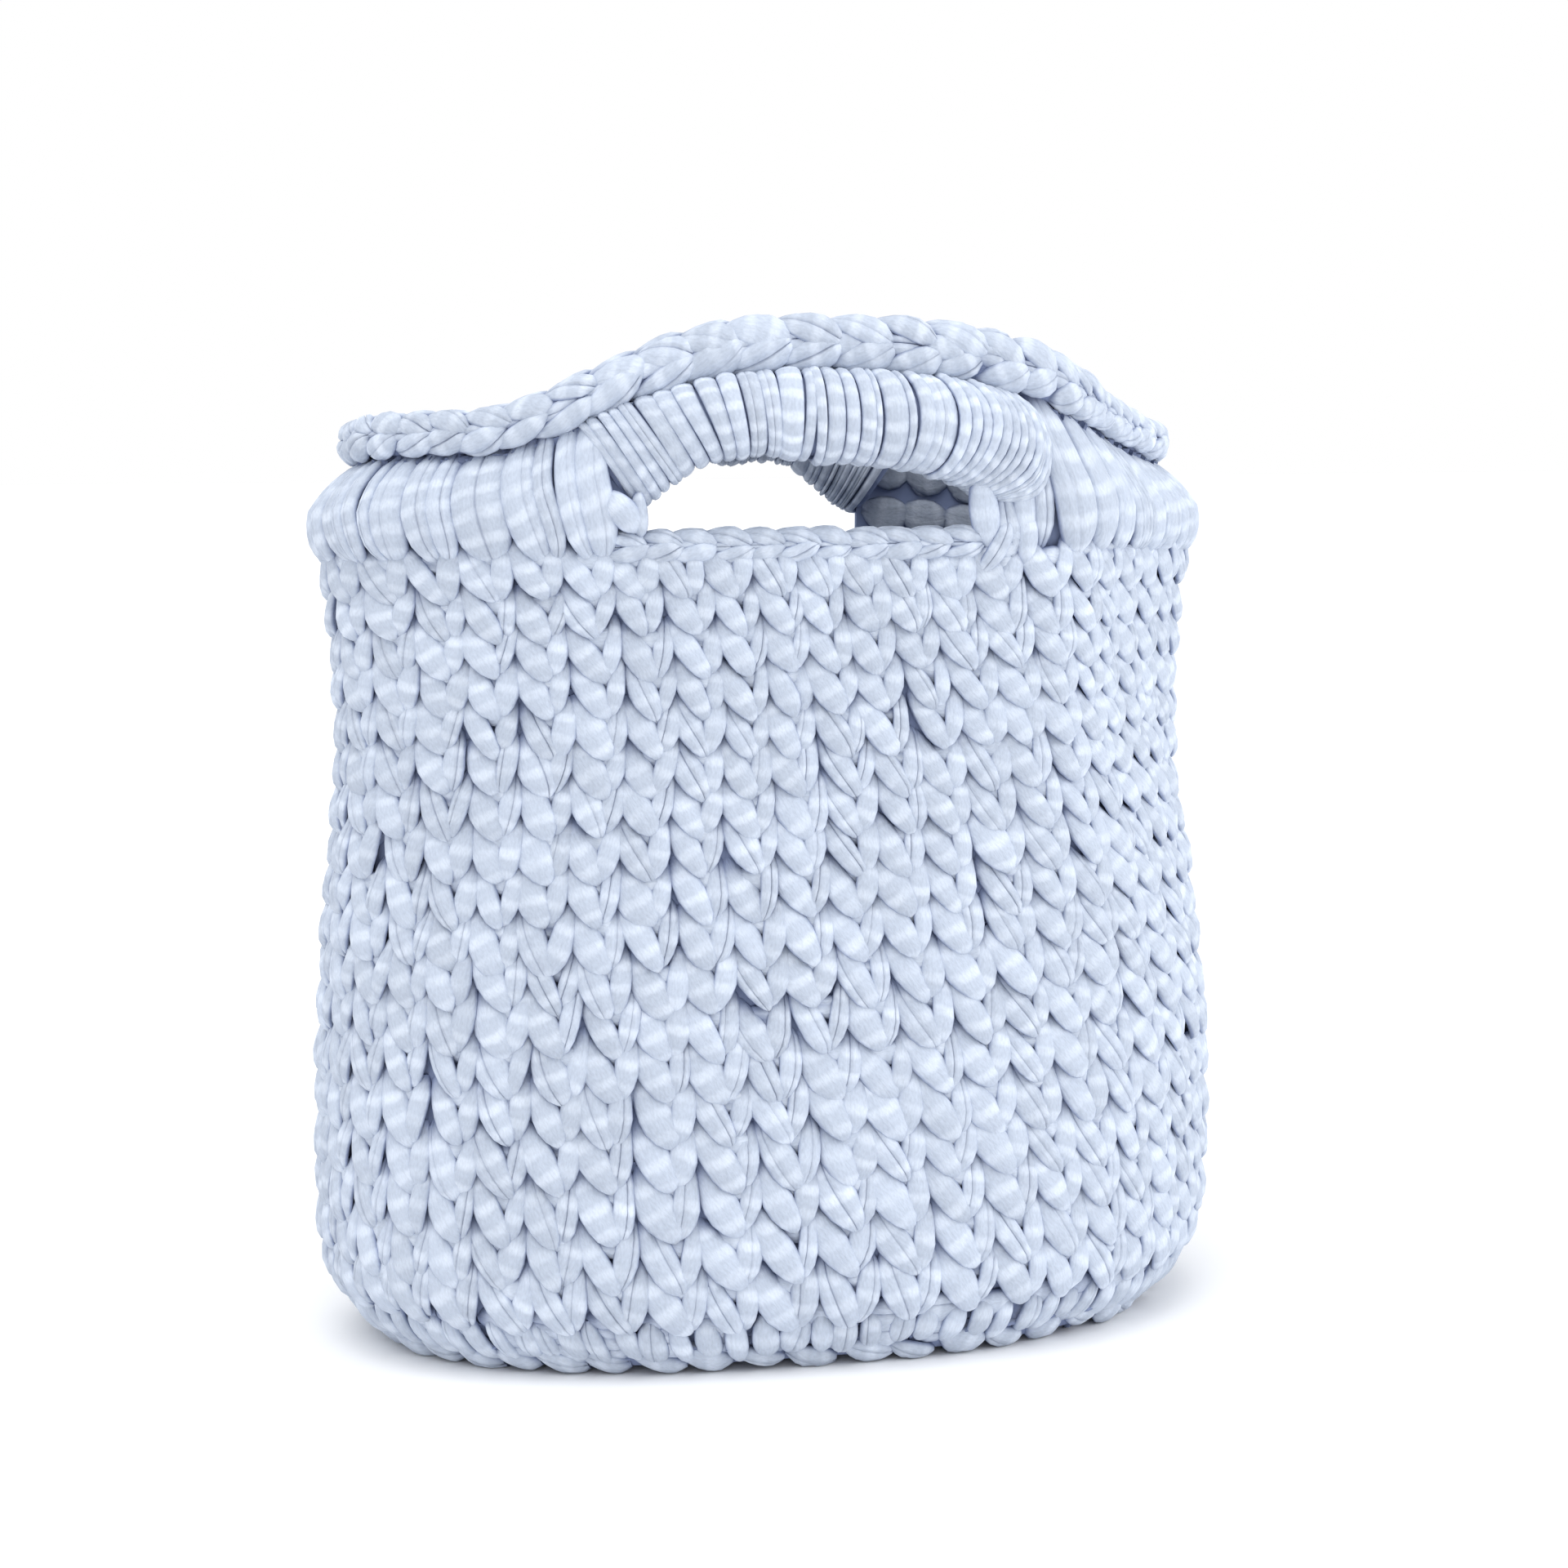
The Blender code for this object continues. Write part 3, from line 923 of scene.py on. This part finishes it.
def shoulder_loops(piece, start, pitch, count, end):
    """The long outer loops of the left (end -1) or the right shoulder."""
    length = abs(pitch) * shoulder_scale[0]
    limb = rows_through(LONG_LOOP, 15)
    for index in range(count):
        strands = rng.choice([1, 2, 2, 3])
        widths = rng.dirichlet(np.full(strands, 6.0))
        lean = rng.normal(1.0, 0.25)
        # The loops beside the rolls' right ends lie lower, under the rolls
        near = min(index + 0.5, count - index - 0.5) * length
        sunk = 1.7 * float(smooth((0.019 - near) / 0.010)) if end > 0 else 0.0
        place = -0.5
        for width in widths:
            middle = place + width / 2
            place += width
            shift = limb[:, 0] * lean + 0.98 * middle * limb[:, 2]
            u = start + pitch * (index + 0.5) + abs(pitch) * shift
            half = limb[:, 2] * width * length * 0.58
            lift = (limb[:, 3] - 0.8 - sunk + 2.2 * (0.25 - middle**2) + rng.normal(0, 0.2)) * MM
            piece.lay(shoulder_chart, u[None], limb[None, :, 1], half[None], lift[None],
                      0.0036 * np.sqrt(width), shoulder_scale, crease_at=rng.uniform(-0.3, 0.3, 1),
                      crease=rng.uniform(0.1, 0.9) * MM)


def shoulder_inner(piece, start, pitch, count):
    """Four rounds of stitches on a shoulder's inner side, darkened as painted shade."""
    place = start + pitch * (1.03 * np.arange(count)[:, None] + 0.45)
    for row in range(4):
        for table, rows in ((INNER_BAR, 7), (INNER_POST, 5)):
            limb = rows_through(table, rows)
            u = place + abs(pitch) * (limb[:, 0] - 0.45 + rng.normal(0, 0.05, (count, 1)))
            v = 0.30 * (row + limb[:, 1] - 0.35 + rng.normal(0, 0.05, (count, 1)))
            half = limb[:, 2] * stitch_height * 1.55 * rng.normal(1, 0.09, (count, 1))
            lift = limb[:, 3] * MM - 0.4 * MM + np.zeros((count, 1))
            # Painted shade: a shade of -4 darkens these strands' colour
            piece.lay(shoulder_inner_chart, u, v, half, lift, 0.0018, shoulder_scale, outward=-1.0,
                      crease_at=rng.uniform(-0.3, 0.3, count), crease=0.4 * MM, coarse=True,
                      shade=np.full(count, -4.0))


def shoulder_core(name, shares):
    up = np.linspace(-0.02, 1.02, 9)
    front = np.minimum(shoulder_inset(up) + core_front, 0.0058)
    sections = []
    for share in shares:
        section = []
        for depth, steps in ((front, up), (np.full(9, 0.0072), up[::-1])):
            plan_height = wall_top + steps * shoulder_height
            x, y = plan_point(fraction_of(np.full_like(steps, share), plan_height), plan_height, depth)
            section.append(sagged(x, y, wall_top + steps * (rim_underside(x) - wall_top)))
        sections.append(np.concatenate(section))
    tube(name + "_core", [name], sections, yarn)


def shoulder(name, end):
    """A shoulder from its front end round to its back end: end is -1 for the left, 1 for the right."""
    piece = Yarn()
    start = x_shares(-0.058 if end < 0 else 0.0535, -1)
    stop = x_shares(-0.059 if end < 0 else 0.0500, 1)
    if end < 0:
        stop -= 1
    count = 15 if end < 0 else 18
    pitch = (stop - start) / count
    shoulder_loops(piece, start, pitch, count, end)
    shoulder_inner(piece, start, pitch, count)
    piece.build(name, [name], yarn)
    past = pitch / abs(pitch) / shoulder_scale[0]
    first, last = start - past * (0.0065 if end < 0 else 0.003), stop + past * 0.009
    shoulder_core(name, np.linspace(first, last, 60))


shoulder("shoulder_left", -1)
shoulder("shoulder_right", 1)

# Widths of the turns of the front handle, from left to right, against each other
FRONT_TURNS = (34, 36, 34, 32, 36, 42, 36, 34, 32, 30, 34, 30, 40, 20, 26,
               40, 25, 30, 14, 50, 18, 34, 54, 26, 26, 24, 24, 26, 22, 20, 22, 20, 20, 20, 22)


def bowed(middle, turn):
    """Place along a handle of a turn's points: towards the right end the turns bulge outwards."""
    bow = 0.24 * np.maximum(middle, 0.0) ** 2
    return middle - bow * (1 - np.maximum(np.sin(turn), 0.0) ** 1.5)


def handle(name, side):
    """A roll wound with closed turns of yarn, on the front (side -1) or the back (side 1)."""
    piece = Yarn()
    widths = np.array(FRONT_TURNS, float)
    if side > 0:
        count = len(FRONT_TURNS)
        widths = rng.uniform(0.6, 1.0, count) * rng.choice([0.6, 1.0, 1.5], count, p=[0.3, 0.4, 0.3])
    edges = np.concatenate([[0], np.cumsum(widths)])
    edges = np.interp(edges / edges[-1], (0, 0.48, 1), (-0.97, 0, 0.97))
    rows = 30
    turn = np.arange(rows) / rows * math.tau
    for left, right in zip(edges[:-1], edges[1:]):
        middle, width = (left + right) / 2, (right - left)
        tilt = rng.normal(0, 0.0035)
        lean = rng.normal(0, 0.0045)
        arch = 0.045 * middle * (1 - middle**4)
        u = bowed(middle, turn) + (tilt + arch) * np.sin(turn) + lean * np.cos(turn)
        narrow = 0.48 * max(middle, 0.0) * (1 - np.maximum(np.sin(turn), 0.0) ** 1.5)
        roll_length = left_roll_length if middle < 0 else right_roll_length
        half = width * roll_length * 0.525 * (1 - narrow)
        lift = (0.3 + np.clip(rng.normal(0, 0.28), -0.45, 0.45)) * MM + np.zeros(rows)
        piece.lay(handle_chart(side), np.clip(u, -0.99, 0.99)[None], turn[None], half[None], lift[None],
                  0.0016, (roll_length, roll_radius), outward=-side, ring=True,
                  crease_at=rng.uniform(-0.3, 0.3, 1), crease=rng.choice([0.0, 0.0, 0.0, 0.5]) * MM)
    piece.build(name, [name], wound_yarn)
    turns = np.arange(16) / 16 * math.tau
    sections = [shrunk(handle_chart(side)(bowed(np.full(16, u), turns), turns), 0.84)
                for u in np.linspace(-0.99, 0.99, 40)]
    tube(name + "_core", [name], sections if side < 0 else sections[::-1], yarn)


handle("handle_front", -1)
handle("handle_back", 1)

# Short strands that tie the handles' ends down beside the slots: x, height, half width and lift in mm
KNOT = (
    (-59.5, 249.5, 1.2, -0.5), (-57.5, 248.0, 3.0, 2.6), (-54.5, 244.8, 4.0, 3.6),
    (-51.8, 241.2, 3.2, 2.6), (-50.6, 239.0, 1.2, -0.5),
)
LEFT_POST = (
    (-50.0, 250.0, 1.0, -1.0), (-50.2, 247.5, 2.0, 1.0), (-50.0, 243.5, 2.3, 1.9),
    (-49.8, 240.0, 2.0, 1.2), (-50.0, 237.5, 1.0, -1.0),
)
RIGHT_POSTS = (
    ((45.0, 254.0, 1.4, -1.0), (45.4, 250.0, 3.4, 0.6), (46.0, 244.5, 4.3, 1.4), (46.8, 239.0, 3.8, 1.4),
     (47.4, 234.0, 1.4, -0.4)),
    ((51.5, 250.0, 1.2, -2.0), (52.2, 246.0, 3.2, -0.4), (53.0, 240.5, 3.9, 0.4), (53.6, 235.0, 3.4, 0.6),
     (54.0, 230.0, 1.2, -1.0)),
    ((58.6, 246.0, 1.2, -2.0), (58.8, 242.0, 2.6, 0.0), (58.8, 237.0, 3.2, 1.0), (58.4, 232.5, 2.8, 0.8),
     (58.0, 228.5, 1.2, -1.0)),
    ((53.0, 241.5, 1.2, -0.5), (52.0, 238.0, 2.4, 2.0), (49.8, 233.5, 2.7, 2.6), (47.0, 229.5, 2.3, 2.2),
     (45.0, 226.5, 1.0, -0.5)),
)


def ties(name, side):
    """Strands at both ends of a slot."""
    piece = Yarn()
    for table in (KNOT, LEFT_POST, *RIGHT_POSTS):
        row = rows_through(table, 13) * MM
        x, height, half, lift = row.T[:, None]
        piece.lay(front_chart(side), x, height, half, lift - 0.5 * MM, 0.0026, (1.0, 1.0), outward=-side,
                  crease_at=rng.uniform(-0.4, 0.4, 1), crease=rng.choice([0.0, 0.8]) * MM)
    piece.build(name, ["handle_front" if side < 0 else "handle_back"], yarn)


ties("ties_front", -1)
ties("ties_back", 1)

# Arms of a chain loop: place along it in pitches, degrees round its section, share of the strand's
# width, lift in mm. The middle arm is a strand that shows between the others
MIDDLE_ARM = (
    (-1.02, 8, 0.22, -2.0),
    (-0.70, 8, 0.62, -0.5),
    (-0.35, 8, 0.78, 0.1),
    (0.00, 8, 0.66, -0.2),
    (0.28, 8, 0.20, -2.0),
)
LOWER_ARM = (
    (-0.98, -58, 0.20, -2.2),
    (-0.72, -50, 0.62, -0.2),
    (-0.38, -38, 0.95, 1.2),
    (0.00, -22, 1.00, 1.6),
    (0.32, -4, 0.70, 1.1),
    (0.52, 8, 0.15, -1.2),
)
UPPER_ARM = (
    (-0.98, 74, 0.20, -2.2),
    (-0.72, 66, 0.62, -0.2),
    (-0.38, 54, 0.95, 1.2),
    (0.00, 38, 1.00, 1.6),
    (0.32, 20, 0.70, 1.1),
    (0.52, 10, 0.15, -1.2),
)
INNER_ARM = (
    (-0.98, 88, 0.20, -2.4),
    (-0.72, 96, 0.62, -0.4),
    (-0.38, 106, 0.95, 0.8),
    (0.00, 120, 1.00, 1.2),
    (0.32, 138, 0.70, 0.7),
    (0.52, 148, 0.15, -1.4),
)
INNER_LOW_ARM = (
    (-0.98, 205, 0.20, -2.4),
    (-0.72, 200, 0.62, -0.4),
    (-0.38, 190, 0.95, 0.8),
    (0.00, 176, 1.00, 1.2),
    (0.32, 160, 0.70, 0.7),
    (0.52, 150, 0.15, -1.4),
)


def chain(piece, chart, centres, pitches, tables, scale, width, outward=1.0, loose=1.0):
    """Loops of a chain with their arms."""
    n = len(centres)
    for table in tables:
        arm = rows_through(table, 9)
        swell = np.clip(rng.normal(1, 0.08 * loose, (n, 1)), 0.75, 1.35)
        u = centres[:, None] + pitches[:, None] * (arm[:, 0] + rng.normal(0, 0.04 * loose, (n, 1)))
        v = np.radians(arm[:, 1] + rng.normal(0, 3 * loose, (n, 1)))
        half = arm[:, 2] * width * swell * ((pitches / pitches.mean()) ** 0.6)[:, None]
        lift = arm[:, 3] * MM - 0.7 * MM + rng.normal(0, 0.2 * MM, (n, 1))
        piece.lay(chart, u, v, half, lift, 0.0022, scale, outward=outward,
                  crease_at=rng.uniform(-0.4, 0.4, n),
                  crease=rng.choice([0.0, 0.5, 0.9, 1.2], (n, 1)) * MM)


def rim():
    """The chain round the rim, with tighter loops on its longer slope, and its core."""
    piece = Yarn()
    shares = np.linspace(0, 1, 721)
    density = 1 - 0.15 * np.cos(4 * math.pi * shares)
    density = density + 0.60 * np.exp(-(((shares - right_slope) / 0.055) ** 2))
    passed = np.concatenate([[0.0], np.cumsum((density[1:] + density[:-1]) / 2)])
    centres = np.interp(np.arange(rim_loops) / rim_loops, passed / passed[-1], shares)
    pitches = np.diff(np.append(centres, 1.0))
    chain(piece, rim_chart, centres, pitches, (MIDDLE_ARM, LOWER_ARM, UPPER_ARM, INNER_ARM, INNER_LOW_ARM),
          rim_scale, rim_strand, loose=1.45)
    piece.build("rim_braid", ["rim_braid"], yarn)
    turns = np.arange(12) / 12 * math.tau
    sections = [shrunk(rim_chart(np.full(12, share), turns), 0.75) for share in np.arange(160) / 160]
    closed_shell("rim_core", ["rim_braid"], sections, yarn)


def slot_braid(name, side):
    """The chain along the lower edge of a slot, with its core."""
    piece = Yarn()
    centres = np.linspace(-slot_chain_half, slot_chain_half, slot_loops)
    chain(piece, slot_braid_chart(side), centres, np.full(slot_loops, slot_pitch),
          (MIDDLE_ARM, LOWER_ARM, UPPER_ARM, INNER_ARM), slot_scale, slot_strand, outward=-side, loose=1.4)
    piece.build(name, [name], yarn)
    turns = np.arange(12) / 12 * math.tau
    sections = [shrunk(slot_braid_chart(side)(np.full(12, x), turns), 0.7)
                for x in np.linspace(-handle_half, handle_half, 40)]
    tube(name + "_core", [name], sections if side < 0 else sections[::-1], yarn)


rim()
slot_braid("slot_braid_front", -1)
slot_braid("slot_braid_back", 1)


# Floor
material = bpy.data.materials.new("floor_white")
material.use_nodes = True
shader = material.node_tree.nodes["Principled BSDF"]
shader.inputs["Base Color"].default_value = (0.90, 0.90, 0.905, 1.0)
shader.inputs["Roughness"].default_value = 0.9
shader.inputs["Specular IOR Level"].default_value = 0.1
mesh = bpy.data.meshes.new("floor")
mesh.from_pydata([(-6, -6, 0), (6, -6, 0), (6, 6, 0), (-6, 6, 0)], [], [(0, 1, 2, 3)])
mesh.materials.append(material)
floor = bpy.data.objects.new("floor", mesh)
bpy.context.scene.collection.objects.link(floor)

# Camera at the photo's angle
camera_turn = math.radians(-12.0)
camera_yaw = math.radians(-12.26)
camera_pitch = math.radians(8.3)
camera_distance = 0.860
camera_height = 0.2854
data = bpy.data.cameras.new("camera")
data.sensor_width = 36.0
data.lens = 66.97
camera = bpy.data.objects.new("camera", data)
camera.location = (math.sin(camera_turn) * camera_distance, -math.cos(camera_turn) * camera_distance,
                   camera_height)
camera.rotation_euler = (math.pi / 2 - camera_pitch, 0.0, camera_yaw)
bpy.context.scene.collection.objects.link(camera)
bpy.context.scene.camera = camera

# Soft sky, plain white where the camera sees it
world = bpy.data.worlds.new("studio")
world.use_nodes = True
tree = world.node_tree
soft = tree.nodes["Background"]
soft.inputs["Color"].default_value = (0.97, 0.985, 1.0, 1.0)
soft.inputs["Strength"].default_value = 0.88
plain = tree.nodes.new("ShaderNodeBackground")
plain.inputs["Color"].default_value = (1.0, 1.0, 1.0, 1.0)
plain.inputs["Strength"].default_value = 1.0
seen = tree.nodes.new("ShaderNodeLightPath")
pick = tree.nodes.new("ShaderNodeMixShader")
tree.links.new(seen.outputs["Is Camera Ray"], pick.inputs[0])
tree.links.new(soft.outputs[0], pick.inputs[1])
tree.links.new(plain.outputs[0], pick.inputs[2])
tree.links.new(pick.outputs[0], tree.nodes["World Output"].inputs["Surface"])
bpy.context.scene.world = world

# A wide soft key from above and a weak panel from the right
sun = bpy.data.lights.new("key", "SUN")
sun.energy = 1.55
sun.angle = math.radians(50)
item = bpy.data.objects.new("key", sun)
item.rotation_euler = (math.radians(14), math.radians(-15), 0.0)
bpy.context.scene.collection.objects.link(item)
panel = bpy.data.lights.new("side", "AREA")
panel.shape = "SQUARE"
panel.size = 0.8
panel.energy = 9.5
item = bpy.data.objects.new("side", panel)
item.location = (1.5, -0.6, 0.8)
item.rotation_euler = (Vector((0, 0, 0.12)) - item.location).to_track_quat("-Z", "Y").to_euler()
bpy.context.scene.collection.objects.link(item)

view = bpy.context.scene.view_settings
view.view_transform = "Standard"
view.look = "None"
